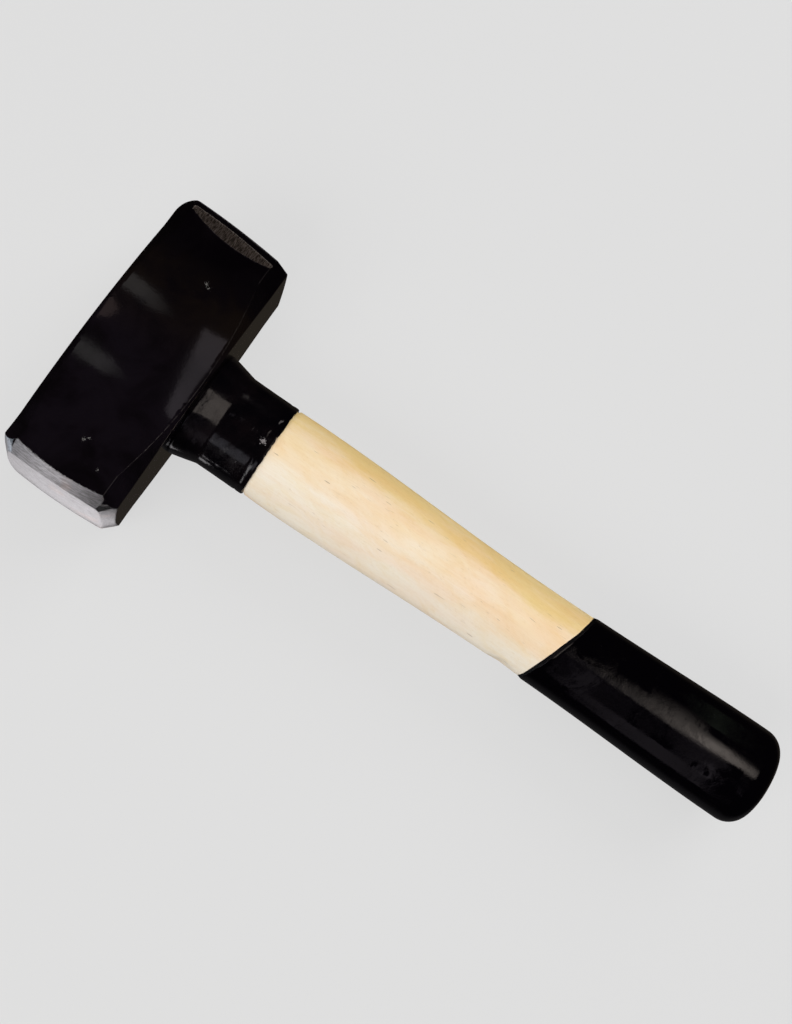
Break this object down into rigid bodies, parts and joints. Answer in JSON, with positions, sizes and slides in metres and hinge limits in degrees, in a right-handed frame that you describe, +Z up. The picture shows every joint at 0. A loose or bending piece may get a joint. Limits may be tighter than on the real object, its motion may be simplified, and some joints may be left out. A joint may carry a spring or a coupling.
{
  "type": "club hammer",
  "caption": "Short-handled club hammer: black octagonal steel head with crowned ground faces, black neck sleeve, pale wood handle and black dipped grip.",
  "frame": {"origin": "middle of the lower cheek of the head, the flat side that it lies on, under the crossing of the handle's axis and the head's axis", "axes": "+X along the handle from the head to the grip's end, +Y along the head from one striking face to the other, +Z up out of the upper cheek"},
  "size_m": [0.2578, 0.0992, 0.04],
  "materials": {
    "head_lacquer": "glossy black lacquer on forged steel, ground bare and grey at the faces and their edges",
    "handle_wood": "pale ash or beech, sanded, thin clear varnish",
    "wedge_wood": "sawn hardwood end grain",
    "wedge_steel": "plain mild steel",
    "sleeve_plastic": "smooth black plastic with a soft gloss",
    "grip_lacquer": "dipped black lacquer that shows the wood's texture"
  },
  "bodies": {
    "root": {"hammer_head": "head_lacquer", "handle": "handle_wood", "wood_wedge": "wedge_wood", "steel_wedge": "wedge_steel", "neck_sleeve": "sleeve_plastic", "grip_coat": "grip_lacquer"}
  },
  "joints": []
}
